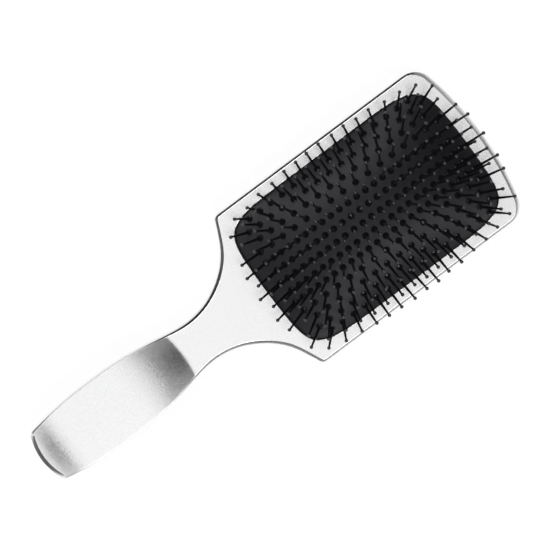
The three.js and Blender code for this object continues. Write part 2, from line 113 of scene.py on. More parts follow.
# Edges of the mouldings.
SIDE_BEVELS = [  # distance back from the shoulder corners, and width of the front's bevel there
    (-4, 1.1),  # along the head, up to here
    (8, 1.65),  # flare
    (38, 1.3),  # neck
    (66, 0.22),  # grip, from here
    (108, 0.22),  # to here
    (125, 0.7),  # corners of the butt
]
BUTT_BEVEL = 2.1  # width across the butt
END_BEVEL = 2.1  # width across the end of the head
END_ZONE = (29, 17)  # distances from the end of the head where its bevel begins and is full
BUTT_ZONE = (12, 3)  # the same distances from the butt
SIDE_TILT = (33, 42)  # degrees where the bevel breaks from the face, and where it meets the wall
END_TILT = (26, 43.6)
BUTT_TILT = (27, 38.5)
CORNER_TILT = 8  # degrees more where the butt turns into the sides
BEVEL_STEPS = 8
BEVEL_ROLL = 3  # how much of the bevel's turn comes near the face
DRAFT = 0.08  # how far the side wall leans in below the bevel
WALL_RINGS = [(0.7, 3), (0.8, 1)]  # share of the draft, and strips below the bevel
SUPPORT = 0.18  # a narrow flat strip that keeps an edge's shading crisp
BACK_EDGE = 3.4  # how far in the back's rounded edge reaches
BACK_STEPS = 9
LIP_ROUND = 0.35  # rounding of the seam's two edges
LIP_MIDDLE = 0.1  # the middle of that rounding, from both faces
WINDOW_ROUND = 0.4
WINDOW_MIDDLE = 0.3  # share of that rounding that is left in its middle, from both faces
GRIP_CROWN = 0.3  # how far the grip's front falls at its sides
CROWN_ZONE = (12, 18)  # from before the crease to after it, the crown grows to its full fall
ROOM_SHARE = 0.86  # share of an outline's radius that an inset may take up
ROOM_GROWTH = 0.3  # room that an inset gains with each millimetre away from a tight corner
ROOM_RADIUS = 60  # a wider arc gives no more room than this one
OUTLINE_SPACING = 1.1
HEAD_SPACING = 2  # times that spacing along the head's sides and end
ARC_STEPS = 2  # the fewest on an arc
CURVE_STEPS = 4  # the fewest on a curved side
CORNER_POINTS = 7  # the fewest for each radian of an arc
FACE_GRID = 1.6  # spacing across the handle of the points inside a curved face
GRID_MARGIN = 0.7  # shares of that spacing: clear of the border
GRID_STEP = 0.75  # along the handle
CREASE_STEP = 0.3  # along the handle by the crease
CREASE_ZONE = 4
GRID_ENDS = (4.8, 2)  # clear of the butt, and of the shoulder corners
TRIANGULATION = 1  # the output type that gives triangles, and only inside the given edges
TRIANGULATION_LIMIT = 1e-5  # points nearer than this would become one

# Air cushion.
CUSHION_LENGTH = 112.3
CUSHION_WIDTH = 70.6
SQUARENESS = 7  # power of the rounded rectangle
CUSHION_BOW = 0.03  # how far its corners draw in from the crowned ends
CUSHION_POINTS = 220
END_MARGIN = 8.9  # from the cushion to the end of the head
DOME_HEIGHT = 10.5
DOME_FALL_X = 0.79  # share of the height that is lost along the middle, from the crown to the rim
DOME_FALL_Y = 0.84
DOME_SHOULDER = 8  # power of the roll at the rim
DOME_RINGS = 26  # evenly spaced, but for the outermost
RINGS_REPLACED = 5
RIM_RINGS = 14  # take the place of those, and crowd towards the rim
RIM_CROWDING = 2.2
RUBBER = 1.4  # thickness of the sheet
FLANGE = 2  # how far it reaches out under the front moulding
FLANGE_CHAMFER = 0.2
FLANGE_FILLET = 0.15
FIT = 0.3  # clearance round the cushion

# Pins.
ROWS_EACH_SIDE = 6
ROW_SPREAD = 0.951  # share of the half width where the outermost row would stand if rows were even
ROW_CLOSING = 0.056  # how much nearer it stands, as the rows close up outward
ROW_PINS = (23, 22, 23, 16, 15, 16, 15)  # in the middle row, and in the rows beside it in turn
DENSE_ROWS_EACH_SIDE = 2  # beside the middle row, with the closer pitch
DENSE_PITCH = 0.0436  # share of the cushion's length
OPEN_PITCH = 0.0632
PITCH_CLOSING = 0.056  # share by which the ends of a row as long as the cushion draw in
ROW_BOW = 0.078  # share of the pitch that a row at the cushion's side would lose
ROWS_AHEAD = 1.5  # from the cushion's middle towards the head
STRIPS = 3
PIN_LENGTH = 17.5  # from the rubber to the ball's middle
FAN_ALONG = {"middle": 0.325, "end": 0.77, "side": 0.44}  # lean for each share of the way out
FAN_ASIDE = {"middle": 0.5, "side": 1.2, "rim": 1.2, "end": 0.6}
PIN_SCATTER = 0.025  # a small uneven lean of every pin
SCATTER_ALONG = (12.9, 7.7)  # turn for each row, and for each pin of a row
SCATTER_ASIDE = (5.3, 9.1)
COLLAR_RADIUS = 1.6
COLLAR_HEIGHT = 2.4
COLLAR_EDGE = 0.25
COLLAR_WALL = 0.4  # share of that edge that stands upright
COLLAR_SET = 0.12  # how far inside the edge the collar's flare begins
COLLAR_FLARE = 2.4  # power of the flare
COLLAR_STEPS = 7
SHAFT_RADIUS = 0.7
SHAFT_STEPS = 4
NECK_RADIUS = 0.46
BALL_RADIUS = 0.85
BALL_STEPS = 9
PIN_SINK = 0.3  # how deep its foot stands in the rubber
PIN_SIDES = 14

# Finishes: the two tones that each is mottled with, and where the lacquer's roughness changes.
LACQUER_TONES = ((0.814, 0.814, 0.818, 1), (0.832, 0.832, 0.834, 1))
RUBBER_TONES = ((0.0034, 0.003, 0.0062, 1), (0.0068, 0.006, 0.0105, 1))
NYLON_TONES = ((0.0035, 0.0035, 0.0045, 1), (0.007, 0.007, 0.008, 1))
PLASTIC_TONES = ((0.035, 0.036, 0.04, 1), (0.055, 0.056, 0.06, 1))
NEARLY_LEVEL = (0.8, 0.93)  # z of the normal
LEVEL_FACE = (0.985, 1.0)
SPECKS = (0.42, 0.6)  # strength of the dots

# View of the photograph.
PHOTO = 550  # pixels across the photograph
VIEW_CENTRE = (10.7, 4.05, HEAD_THICKNESS)  # the point of the brush in the middle of the photograph
VIEW_TURN = math.radians(36.8)  # how far the brush is turned up from the photograph's level
VIEW_TILT = math.radians(4.4)
VIEW_DISTANCE = 1200
PIXELS_PER_MM = 2.197
SENSOR = 36
CLIP_NEAR = 10
CLIP_FAR = 50000

# Studio: the levels of its lights, and where on the dome they begin and end. A place on the dome is
# given by the x or y of the direction to it, so 0 is overhead and 1 is the horizon.
DOME_LEVEL = 1.18
SIDE_LEVEL = 0.5  # share that the dome keeps at its sides
SIDE_FALL = (0.2, 0.45)
GAP_ASIDE = (0.4, 0.6)  # the dark gaps end here on either side
MIRROR_LINE = 0.077  # the bristle face mirrors the dome at this much towards -Y
MIDDLE_ASIDE = (0.03, 0.13)  # the middle of the gaps, on either side of that line
HEAD_GAP = (0.105, 0.24)
HEAD_GAP_DEPTH = 0.78
FAR_GAP = (0.24, 0.4)
FAR_GAP_DEPTH = 0.11
GAP_EDGE_SHARE = 0.83  # share of the head's gap that is left beside its middle
GAP_MIDDLE_SHARE = 0.36  # and what its middle adds
BUTT_GAP_START = (-0.38, -0.13)
BUTT_GAP_END = (-0.65, -0.56)
HORIZON = (0.6, 0.74)  # x and y squared and added, where the dome goes over to the walls
WALL_LEVEL = 0.03
NEAR_LEVEL = 0.25  # the wall on the -Y side
NEAR_WALL = (-0.6, -0.2)
NEAR_WALL_BUTT = (-0.6, -0.15)
NEAR_WALL_SHARE = 0.45  # share of it that is left beside the butt
HEAD_WALL = (0.55, 0.85)
HEAD_WALL_ASIDE = (0.03, 0.15)
HEAD_WALL_LEVELS = (0.5, 0.22)  # in line with the brush, and beside that
BUTT_LEVEL = 0.08
BUTT_WALL = (-0.85, -0.5)
BOX_LEVEL = 3.0
BOX_INNER = (0.4, 0.46)
BOX_OUTER = (0.72, 0.78)
BOX_ENDS = (0.34, 0.44)
FLOOR_TONE = 0.3
FLOOR_GLOW = 0.77
FLOOR_HALF = 3000
FLOOR_GAP = 0.05  # under the flat back

HEAD_END = (HEAD_LENGTH + HANDLE_LENGTH) / 2
BUTT_END = -HEAD_END
SHOULDER = HEAD_END - HEAD_LENGTH
CUSHION_X = HEAD_END - END_MARGIN - CUSHION_LENGTH / 2
ROWS_X = CUSHION_X + ROWS_AHEAD
FLANGE_TOP = HEAD_THICKNESS - WALL - FIT / 2


# ---- Small tools ----

def smoothstep(value, low, high):
    """0 up to low, 1 from high, and a smooth curve between them."""
    share = min(1, max(0, (value - low) / (high - low)))
    return share * share * (3 - 2 * share)


def add_object(name, data):
    made = bpy.data.objects.new(name, data)
    bpy.context.scene.collection.objects.link(made)
    return made


class Shape:
    """Points and faces that are gathered before they become one piece."""

    def __init__(self):
        self.points = []
        self.faces = []

    def point(self, point):
        self.points.append(tuple(point))
        return len(self.points) - 1

    def ring(self, points):
        return [self.point(p) for p in points]

    def band(self, below, above):
        """Quads between two closed rings of the same length, facing out if they run anticlockwise."""
        for i in range(len(below)):
            j = (i + 1) % len(below)
            self.faces.append((below[i], below[j], above[j], above[i]))

    def bands(self, rings):
        for below, above in zip(rings, rings[1:]):
            self.band(below, above)

    def fan(self, ring, apex):
        for i in range(len(ring)):
            self.faces.append((ring[i], ring[(i + 1) % len(ring)], apex))

    def bottom(self, ring):
        self.faces.append(tuple(reversed(ring)))

    def top(self, ring):
        self.faces.append(tuple(ring))

    def face(self, border, holes, inner, height, up):
        """A triangulated face between a border ring, hole rings and loose inner points (x, y)."""
        rings = [border, *holes]
        ids = [i for ring in rings for i in ring]
        flat = [Vector(self.points[i][:2]) for i in ids] + [Vector(p) for p in inner]
        edges = []
        start = 0
        for ring in rings:
            n = len(ring)
            edges += [(start + i, start + (i + 1) % n) for i in range(n)]
            start += n
        made, _, faces, origins, _, _ = delaunay_2d_cdt(flat, edges, [], TRIANGULATION, TRIANGULATION_LIMIT)
        where = {}
        for k, came in enumerate(origins):
            first = came[0]
            if first < len(ids):
                where[k] = ids[first]
            else:
                x, y = made[k]
                where[k] = self.point((x, y, height(x, y)))
        openings = [set(ring) for ring in holes]
        for triangle in faces:
            corners = [where[k] for k in triangle]
            if any(opening.issuperset(corners) for opening in openings):
                continue
            a, b, c = (self.points[i] for i in corners)
            turn = (b[0] - a[0]) * (c[1] - a[1]) - (b[1] - a[1]) * (c[0] - a[0])
            self.faces.append(tuple(corners if (turn > 0) == up else reversed(corners)))

    def piece(self, name, material, body=BODY):
        """The smooth mesh piece, riding on a body."""
        mesh = bpy.data.meshes.new(name)
        mesh.from_pydata([tuple(c * MM for c in p) for p in self.points], [], self.faces)
        mesh.materials.append(material)
        mesh.polygons.foreach_set("use_smooth", [True] * len(mesh.polygons))
        mesh.update()
        piece = add_object(name, mesh)
        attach(piece, body)
        return piece


def circle(x, y, radius, z, sides):
    turns = [2 * math.pi * i / sides for i in range(sides)]
    return [(x + radius * math.cos(t), y + radius * math.sin(t), z) for t in turns]


# ---- Outline of the body ----

def arc(centre, radius, start, end, spacing):
    """Points and outward normals along an arc, with its radius."""
    steps = max(ARC_STEPS, math.ceil(abs(end - start) * max(radius / spacing, CORNER_POINTS)))
    turns = [start + (end - start) * i / steps for i in range(steps + 1)]
    normals = [(math.cos(t), math.sin(t)) for t in turns]
    return [(centre[0] + radius * nx, centre[1] + radius * ny, nx, ny, radius) for nx, ny in normals]


def curve(a, b, spacing):
    """Points and normals along the cubic that leaves a and reaches b, each given as x, y and slope."""
    steps = max(CURVE_STEPS, math.ceil((b[0] - a[0]) / spacing))
    span = b[0] - a[0]
    points = []
    for i in range(steps + 1):
        t = i / steps
        y = (
            (1 + 2 * t) * (1 - t) ** 2 * a[1]
            + t * (1 - t) ** 2 * span * a[2]
            + t * t * (3 - 2 * t) * b[1]
            + t * t * (t - 1) * span * b[2]
        )
        rise = (
            6 * t * (t - 1) * a[1]
            + (1 - t) * (1 - 3 * t) * span * a[2]
            + 6 * t * (1 - t) * b[1]
            + t * (3 * t - 2) * span * b[2]
        ) / span
        size = math.hypot(1, rise)
        points.append((a[0] + t * span, y, -rise / size, 1 / size, math.inf))
    return points


def half_outline(spacing):
    """The +Y half from the crown of the butt to the crown of the end."""
    butt_centre = BUTT_END + BUTT_RADIUS
    corner_y = BUTT_WIDTH / 2 - BUTT_CORNER
    reach = math.sqrt((BUTT_RADIUS - BUTT_CORNER) ** 2 - corner_y ** 2)
    butt_turn = math.atan2(corner_y, -reach)
    butt = arc((butt_centre, 0), BUTT_RADIUS, math.pi, butt_turn, spacing)
    corner = arc((butt_centre - reach, corner_y), BUTT_CORNER, butt_turn, math.pi / 2 + BUTT_TAPER, spacing)

    turn = math.atan(SHOULDER_SLOPE)
    corner_reach = SHOULDER_CORNER * math.tan(turn / 2)
    side_end = (
        SHOULDER - corner_reach * math.cos(turn),
        HEAD_WIDTH / 2 - corner_reach * math.sin(turn),
        SHOULDER_SLOPE,
    )
    stops = [(corner[-1][0], corner[-1][1], math.tan(BUTT_TAPER))]
    stops += [(SHOULDER - back, width / 2, slope) for back, width, slope in SECTIONS]
    stops.append(side_end)
    side = []
    for a, b in zip(stops, stops[1:]):
        side += curve(a, b, spacing)[1:]

    shoulder_centre = (SHOULDER + corner_reach, HEAD_WIDTH / 2 - SHOULDER_CORNER)
    shoulder_arc = arc(shoulder_centre, SHOULDER_CORNER, math.pi / 2 + turn, math.pi / 2, spacing)

    end_y = HEAD_WIDTH / 2 - END_CORNER
    end_reach = math.sqrt((END_RADIUS - END_CORNER) ** 2 - end_y ** 2)
    end_turn = math.atan2(end_y, end_reach)
    end_centre = HEAD_END - END_RADIUS
    end_corner = arc((end_centre + end_reach, end_y), END_CORNER, math.pi / 2, end_turn, spacing)
    start_x, stop_x = shoulder_centre[0], end_centre + end_reach
    steps = math.ceil((stop_x - start_x) / (HEAD_SPACING * spacing))
    straight = [
        (start_x + (stop_x - start_x) * i / steps, HEAD_WIDTH / 2, 0, 1, math.inf) for i in range(1, steps)
    ]
    end = arc((end_centre, 0), END_RADIUS, end_turn, 0, HEAD_SPACING * spacing)
    return butt + corner[1:] + side + shoulder_arc[1:] + straight + end_corner + end[1:]


def closed_outline(spacing):
    """The whole outline, anticlockwise, with the room for an inset growing away from tight corners."""
    half = half_outline(spacing)
    far = [(x, -y, nx, -ny, r) for x, y, nx, ny, r in half]
    loop = far + half[-2:0:-1]
    points = np.array([p[:4] for p in loop])
    radii = np.array([min(p[4], ROOM_RADIUS) for p in loop])
    steps = np.hypot(*(np.roll(points[:, :2], -1, axis=0) - points[:, :2]).T)
    along = np.concatenate([[0], np.cumsum(steps)[:-1]])
    apart = np.abs(along[:, None] - along[None, :])
    apart = np.minimum(apart, steps.sum() - apart)
    room = (ROOM_SHARE * radii[None, :] + ROOM_GROWTH * apart).min(axis=1)
    return points, room


def width_profile(points):
    """The x and y of the outline's +Y half, in order of x."""
    half = points[points[:, 1] >= 0][:, :2]
    return half[np.argsort(half[:, 0], kind="stable")].T


OUTLINE, ROOM = closed_outline(OUTLINE_SPACING)
PROFILE_X, PROFILE_Y = width_profile(OUTLINE)


def across_share(x, y):
    """How far out a point is across the body, from 0 in the middle to 1 at the side."""
    half_width = float(np.interp(x, PROFILE_X, PROFILE_Y))
    return min(1, abs(y) / max(half_width, 1))


def inset_ring(insets, height):
    """The outline drawn in by an inset, or by one at each point, with its height given by place."""
    ring = []
    for (x, y, nx, ny), room, inset in zip(OUTLINE, ROOM, np.broadcast_to(insets, len(OUTLINE))):
        reach = min(inset, room)
        px, py = x - nx * reach, y - ny * reach
        ring.append((px, py, height(px, py)))
    return ring


def level(z):
    """A height that is the same at every place."""
    return lambda x, y: z


def front_height(x, y):
    """The bristle face: flat to the crease, then raised over the grip and falling at the butt."""
    share = across_share(x, y)
    run = max(0, SHOULDER - RISE_START - CREASE_BOW * share ** 2 - x)
    run = run * run / (2 * CREASE_ROUND) if run < CREASE_ROUND else run - CREASE_ROUND / 2
    rise = min(1, run / (RISE_LENGTH - CREASE_ROUND / 2))
    fall = min(1, max(0, (BUTT_END + BUTT_FALL_LENGTH - x) / BUTT_FALL_LENGTH))
    on_grip = smoothstep(SHOULDER - x, RISE_START - CROWN_ZONE[0], RISE_START + CROWN_ZONE[1])
    side_fall = GRIP_CROWN * on_grip * share ** 2
    return HEAD_THICKNESS + GRIP_RISE * (1 - (1 - rise) ** 2) - BUTT_FALL * fall ** 2 - side_fall


def back_height(x, y):
    """The back: flat under the head, and crowned across the handle."""
    handle = smoothstep(SHOULDER - x, 0, NECK_BACK)
    return BACK_CROWN * handle * across_share(x, y) ** 2


def handle_grid(border):
    """Points inside the handle and neck, in rows across, clear of the border."""
    edge_x = np.array([p[0] for p in border])
    edge_y = np.array([abs(p[1]) for p in border])
    order = np.argsort(edge_x, kind="stable")
    edge_x, edge_y = edge_x[order], edge_y[order]
    points = []
    x = BUTT_END + GRID_ENDS[0]
    while x < SHOULDER - GRID_ENDS[1]:
        half = float(np.interp(x, edge_x, edge_y)) - FACE_GRID * GRID_MARGIN
        rows = max(1, round(2 * half / FACE_GRID))
        points += [(x, -half + 2 * half * i / rows) for i in range(rows + 1)]
        by_crease = abs(SHOULDER - RISE_START - x) < CREASE_ZONE
        x += FACE_GRID * (CREASE_STEP if by_crease else GRID_STEP)
    return points


# ---- Outline and dome of the air cushion ----

def cushion_loop(offset):
    """The cushion's outline grown by an offset, anticlockwise."""
    loop = []
    for i in range(CUSHION_POINTS):
        turn = 2 * math.pi * i / CUSHION_POINTS
        c, s = math.cos(turn), math.sin(turn)
        size = (abs(c) ** SQUARENESS + abs(s) ** SQUARENESS) ** (-1 / SQUARENESS)
        x, y = c * size, s * size
        x *= 1 - CUSHION_BOW * y * y
        loop.append((CUSHION_X + x * (CUSHION_LENGTH / 2 + offset), y * (CUSHION_WIDTH / 2 + offset)))
    return loop


def cushion_ring(shape, offset, z):
    """That outline as a ring at one height."""
    return shape.ring([(x, y, z) for x, y in cushion_loop(offset)])


def crown(x, y):
    """Share of the dome's height, for x and y as shares of the cushion's half length and width."""
    along = abs(x) / (1 - CUSHION_BOW * y * y)
    aside = abs(y)
    out = min(1, (along ** SQUARENESS + aside ** SQUARENESS) ** (1 / SQUARENESS))
    roll = math.sqrt(max(0, 1 - out ** DOME_SHOULDER))
    return (1 - DOME_FALL_X * along ** 2) * (1 - DOME_FALL_Y * aside ** 2) * roll


def dome_height(x, y):
    share = crown((x - CUSHION_X) / (CUSHION_LENGTH / 2), y / (CUSHION_WIDTH / 2))
    return HEAD_THICKNESS + DOME_HEIGHT * share


# ---- Node trees ----

class Value:
    """A socket of a node tree, with arithmetic that adds Math nodes."""

    def __init__(self, tree, socket):
        self.tree = tree
        self.socket = socket

    def math(self, operation, a, b):
        return self.tree.node("ShaderNodeMath", {"operation": operation}, {0: a, 1: b})

    def __add__(self, other):
        return self.math("ADD", self, other)

    def __sub__(self, other):
        return self.math("SUBTRACT", self, other)

    def __mul__(self, other):
        return self.math("MULTIPLY", self, other)

    def __rsub__(self, other):
        return self.math("SUBTRACT", other, self)

    __radd__ = __add__
    __rmul__ = __mul__


class Tree:
    """A node tree that is written as expressions."""

    def __init__(self, tree):
        self.tree = tree
        tree.nodes.clear()

    def node(self, kind, settings=None, inputs=None, output=0):
        """A node with its settings, then its sockets' values or links. Gives one of its outputs."""
        node = self.tree.nodes.new(kind)
        for key, value in (settings or {}).items():
            setattr(node, key, value)
        for key, value in (inputs or {}).items():
            if isinstance(value, Value):
                self.tree.links.new(value.socket, node.inputs[key])
            else:
                node.inputs[key].default_value = value
        return Value(self, node.outputs[output]) if node.outputs else None

    def beside(self, value, output):
        """Another output of the node that a value comes from."""
        return Value(self, value.socket.node.outputs[output])

    def split(self, vector):
        x = self.node("ShaderNodeSeparateXYZ", None, {0: vector})
        return x, self.beside(x, "Y"), self.beside(x, "Z")

    def absolute(self, value):
        return self.node("ShaderNodeMath", {"operation": "ABSOLUTE"}, {0: value})

    def step(self, value, low, high, low_to=0.0, high_to=1.0):
        """A smooth step from low_to to high_to as the value goes from low to high."""
        settings = {"interpolation_type": "SMOOTHSTEP"}
        inputs = {"Value": value, "From Min": low, "From Max": high, "To Min": low_to, "To Max": high_to}
        return self.node("ShaderNodeMapRange", settings, inputs)

    def fade(self, value, low, high):
        """A smooth step from 1 down to 0."""
        return self.step(value, low, high, 1.0, 0.0)

    def mix_colour(self, factor, a, b):
        return self.node("ShaderNodeMix", {"data_type": "RGBA"}, {0: factor, 6: a, 7: b}, output=2)

    def noise(self, place, scale, detail, roughness):
        inputs = {"Vector": place, "Scale": scale, "Detail": detail, "Roughness": roughness}
        return self.node("ShaderNodeTexNoise", None, inputs)

    def bump(self, height, strength, distance, under=None):
        """A bumped normal, on the surface's own or on the bumped one under it."""
        inputs = {"Height": height, "Strength": strength, "Distance": distance}
        if under:
            inputs["Normal"] = under
        return self.node("ShaderNodeBump", None, inputs)


# ---- Finishes ----

def new_finish(name):
    """A material, its tree and the place on the object, in metres."""
    material = bpy.data.materials.new(name)
    material.use_nodes = True
    tree = Tree(material.node_tree)
    return material, tree, tree.node("ShaderNodeTexCoord", output="Object")


def finish_surface(tree, inputs):
    shader = tree.node("ShaderNodeBsdfPrincipled", None, inputs)
    tree.node("ShaderNodeOutputMaterial", None, {"Surface": shader})


def silver_lacquer():
    """Satin metallic lacquer, with a fine orange peel and specks that are rougher than the rest."""
    material, tree, place = new_finish("silver_lacquer")
    peel = tree.noise(place, scale=1500.0, detail=2.0, roughness=0.55)
    flake = tree.noise(place, scale=5200.0, detail=1.0, roughness=0.6)
    cloud = tree.noise(place, scale=26.0, detail=3.0, roughness=0.5)
    dots = tree.noise(place, scale=2300.0, detail=1.0, roughness=0.6)
    _, _, up = tree.split(tree.node("ShaderNodeTexCoord", output="Normal"))
    nearly_level = tree.step(up, *NEARLY_LEVEL)
    level_face = tree.step(up, *LEVEL_FACE)
    speck = tree.step(dots, *SPECKS)
    peeled = tree.bump(peel, strength=0.07, distance=0.00035)
    finish_surface(
        tree,
        {
            "Base Color": tree.mix_colour(cloud, *LACQUER_TONES),
            "Metallic": 1.0,
            "Roughness": 0.1 + 0.05 * nearly_level + 0.1 * level_face + 0.03 * cloud + 0.1 * speck,
            "Normal": tree.bump(flake, strength=0.06, distance=0.0001, under=peeled),
        },
    )
    return material


def black_rubber():
    """Satin near-black rubber, faintly mottled."""
    material, tree, place = new_finish("black_rubber")
    mottle = tree.noise(place, scale=90.0, detail=3.0, roughness=0.6)
    skin = tree.noise(place, scale=1800.0, detail=2.0, roughness=0.6)
    finish_surface(
        tree,
        {
            "Base Color": tree.mix_colour(mottle, *RUBBER_TONES),
            "Roughness": 0.36 + 0.14 * mottle,
            "Normal": tree.bump(skin, strength=0.2, distance=0.0002),
            "Specular IOR Level": 0.34,
        },
    )
    return material


def black_nylon():
    """Smooth black nylon, with uneven gloss."""
    material, tree, place = new_finish("black_nylon")
    wear = tree.noise(place, scale=300.0, detail=2.0, roughness=0.5)
    finish_surface(
        tree,
        {
            "Base Color": tree.mix_colour(wear, *NYLON_TONES),
            "Roughness": 0.1 + 0.1 * wear,
            "Specular IOR Level": 0.75,
        },
    )
    return material


def dark_plastic():
    """Plain moulded plastic of the hidden pieces, with a fine spark-eroded texture."""
    material, tree, place = new_finish("dark_plastic")
    spark = tree.noise(place, scale=1200.0, detail=3.0, roughness=0.6)
    finish_surface(
        tree,
        {
            "Base Color": tree.mix_colour(spark, *PLASTIC_TONES),
            "Roughness": 0.5 + 0.2 * spark,
            "Normal": tree.bump(spark, strength=0.25, distance=0.0002),
        },
    )
    return material


SILVER = silver_lacquer()
RUBBER_FINISH = black_rubber()
NYLON = black_nylon()
PLASTIC = dark_plastic()


# ---- Body mouldings ----

def near_end(xs, zone):
    """1 by the end of the head, falling to 0 over a zone that is given by distances from that end."""
    return np.array([smoothstep(x, HEAD_END - zone[0], HEAD_END - zone[1]) for x in xs])


def bevel_sizes():
    """Width of the front's bevel and the tilts it runs between, at each point of the outline."""
    xs = OUTLINE[:, 0]
    facing = OUTLINE[:, 2] ** 2  # 1 where the outline faces an end of the brush, 0 where it faces a side
    near_butt = near_end(-xs, BUTT_ZONE)
    end = facing * near_end(xs, END_ZONE)
    butt = facing * near_butt
    widths = np.interp(SHOULDER - xs, *zip(*SIDE_BEVELS))
    widths = widths + (END_BEVEL - widths) * end + (BUTT_BEVEL - widths) * butt
    corner = CORNER_TILT * 4 * facing * (1 - facing) * near_butt
    tilts = [
        np.radians(at_side + (at_end - at_side) * end + (at_butt - at_side) * butt + corner)
        for at_side, at_end, at_butt in zip(SIDE_TILT, END_TILT, BUTT_TILT)
    ]
    return widths, *tilts


def front_moulding():
    """The bristle side of the body: the face with the cushion's window, the bevel, the wall and the pegs."""
    shape = Shape()
    widths, first_tilt, last_tilt = bevel_sizes()
    full = DRAFT + widths
    face_points = inset_ring(full, front_height)

    def bevel_ring(inset, fall):
        """A ring whose height is measured down from the face beside it."""
        ring = inset_ring(inset, level(0))
        return shape.ring([(x, y, top[2] - d) for (x, y, _), top, d in zip(ring, face_points, fall)])

    shares = np.linspace(0, 1, BEVEL_STEPS + 1)[:, None]
    slopes = np.tan(first_tilt + (last_tilt - first_tilt) * (1 - (1 - shares) ** BEVEL_ROLL))
    steps = widths * (slopes[:-1] + slopes[1:]) / 2 / BEVEL_STEPS
    falls = np.vstack([np.zeros_like(widths), np.cumsum(steps, axis=0)])
    lip = shape.ring(inset_ring(LIP_ROUND, level(SEAM)))
    rings = [
        lip,
        shape.ring(inset_ring(LIP_MIDDLE, level(SEAM + LIP_MIDDLE))),
        shape.ring(inset_ring(0, level(SEAM + LIP_ROUND))),
    ]
    for share, strips in WALL_RINGS:
        rings.append(bevel_ring(DRAFT * share, falls[-1] + strips * SUPPORT))
    for share, fall in zip(shares[::-1, 0], falls[::-1]):
        rings.append(bevel_ring(DRAFT + widths * (1 - share), fall))
    border = shape.ring(inset_ring(full + SUPPORT, front_height))
    shape.bands([*rings, border])

    middle = WINDOW_ROUND * WINDOW_MIDDLE
    window_section = [
        (FIT + WINDOW_ROUND + SUPPORT, HEAD_THICKNESS),
        (FIT + WINDOW_ROUND, HEAD_THICKNESS),
        (FIT + middle, HEAD_THICKNESS - middle),
        (FIT, HEAD_THICKNESS - WINDOW_ROUND),
        (FIT, HEAD_THICKNESS - WALL),
    ]
    window = [cushion_ring(shape, offset, z) for offset, z in window_section]
    inside = handle_grid([shape.points[i] for i in border])
    shape.face(border, [window[0]], inside, front_height, up=True)
    shape.bands(window)

    ceiling = shape.ring(
        inset_ring(WALL + DRAFT + CEILING_INSET, lambda x, y: front_height(x, y) - WALL)
    )
    foot = shape.ring(inset_ring(WALL, level(SEAM)))
    shape.face(ceiling, [window[-1]], [], front_height, up=False)
    shape.bands([ceiling, foot, lip])
    for back in PEG_SETBACKS:
        peg(shape, SHOULDER - back)
    piece = shape.piece("front_moulding", SILVER)
    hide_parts("front_shell")


def peg(shape, x):
    """A peg inside the handle, with a chamfered tip."""
    tip = WALL + PEG_TIP_GAP
    root = front_height(x, 0) - WALL - ROOT_GAP
    rings = [
        shape.ring(circle(x, 0, PEG_RADIUS * PEG_TIP, tip, PEG_SIDES)),
        shape.ring(circle(x, 0, PEG_RADIUS, tip + PEG_CHAMFER, PEG_SIDES)),
        shape.ring(circle(x, 0, PEG_RADIUS, root, PEG_SIDES)),
    ]
    shape.bands(rings)
    shape.bottom(rings[0])
    shape.top(rings[-1])


def back_moulding():
    """The other half of the body: its rounded back, the seam, the locating lip, sockets and ribs."""
    shape = Shape()
    top = SEAM - SEAM_GAP
    foot = inset_ring(BACK_EDGE, back_height)
    rings = []
    for i in range(BACK_STEPS + 1):
        turn = math.pi / 2 * i / BACK_STEPS
        ring = inset_ring(BACK_EDGE * (1 - math.sin(turn)), level(0))
        share = 1 - math.cos(turn)
        rise = top - LIP_ROUND
        rings.append(shape.ring([(x, y, f[2] + (rise - f[2]) * share) for (x, y, _), f in zip(ring, foot)]))
    lip_outside = WALL + LIP_FIT
    lip_inside = lip_outside + LIP_THICKNESS
    rings += [
        shape.ring(inset_ring(LIP_MIDDLE, level(top - LIP_MIDDLE))),
        shape.ring(inset_ring(LIP_ROUND, level(top))),
        shape.ring(inset_ring(lip_outside, level(top))),
        shape.ring(inset_ring(lip_outside, level(SEAM + LIP_HEIGHT))),
        shape.ring(inset_ring(lip_inside, level(SEAM + LIP_HEIGHT))),
        shape.ring(inset_ring(lip_inside + FLOOR_INSET, lambda x, y: back_height(x, y) + WALL)),
    ]
    shape.bands(rings)
    shape.face(rings[-1], [], [], back_height, up=True)
    border = shape.ring(inset_ring(BACK_EDGE + SUPPORT, back_height))
    shape.band(border, rings[0])
    inside = handle_grid([shape.points[i] for i in border])
    shape.face(border, [], inside, back_height, up=False)
    for back in PEG_SETBACKS:
        socket(shape, SHOULDER - back)
    for side in (-1, 0, 1):
        rib(shape, CUSHION_X, side * RIB_SPACING / 2, RIB_LENGTH / 2, RIB_THICKNESS / 2)
        rib(shape, CUSHION_X + side * RIB_LENGTH / 2, 0, RIB_THICKNESS / 2, RIB_SPACING / 2)
    piece = shape.piece("back_moulding", SILVER)
    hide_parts("back_shell")


def socket(shape, x):
    """A tube for a peg, with a chamfered mouth."""
    bore = PEG_RADIUS + PEG_FIT
    outside = bore + SOCKET_WALL
    floor = WALL + ROOT_GAP
    mouth = WALL + SOCKET_HEIGHT
    rings = [
        shape.ring(circle(x, 0, outside, floor, PEG_SIDES)),
        shape.ring(circle(x, 0, outside, mouth, PEG_SIDES)),
        shape.ring(circle(x, 0, bore + SOCKET_CHAMFER, mouth, PEG_SIDES)),
        shape.ring(circle(x, 0, bore, mouth - SOCKET_CHAMFER, PEG_SIDES)),
        shape.ring(circle(x, 0, bore, floor, PEG_SIDES)),
    ]
    shape.bands([*rings, rings[0]])


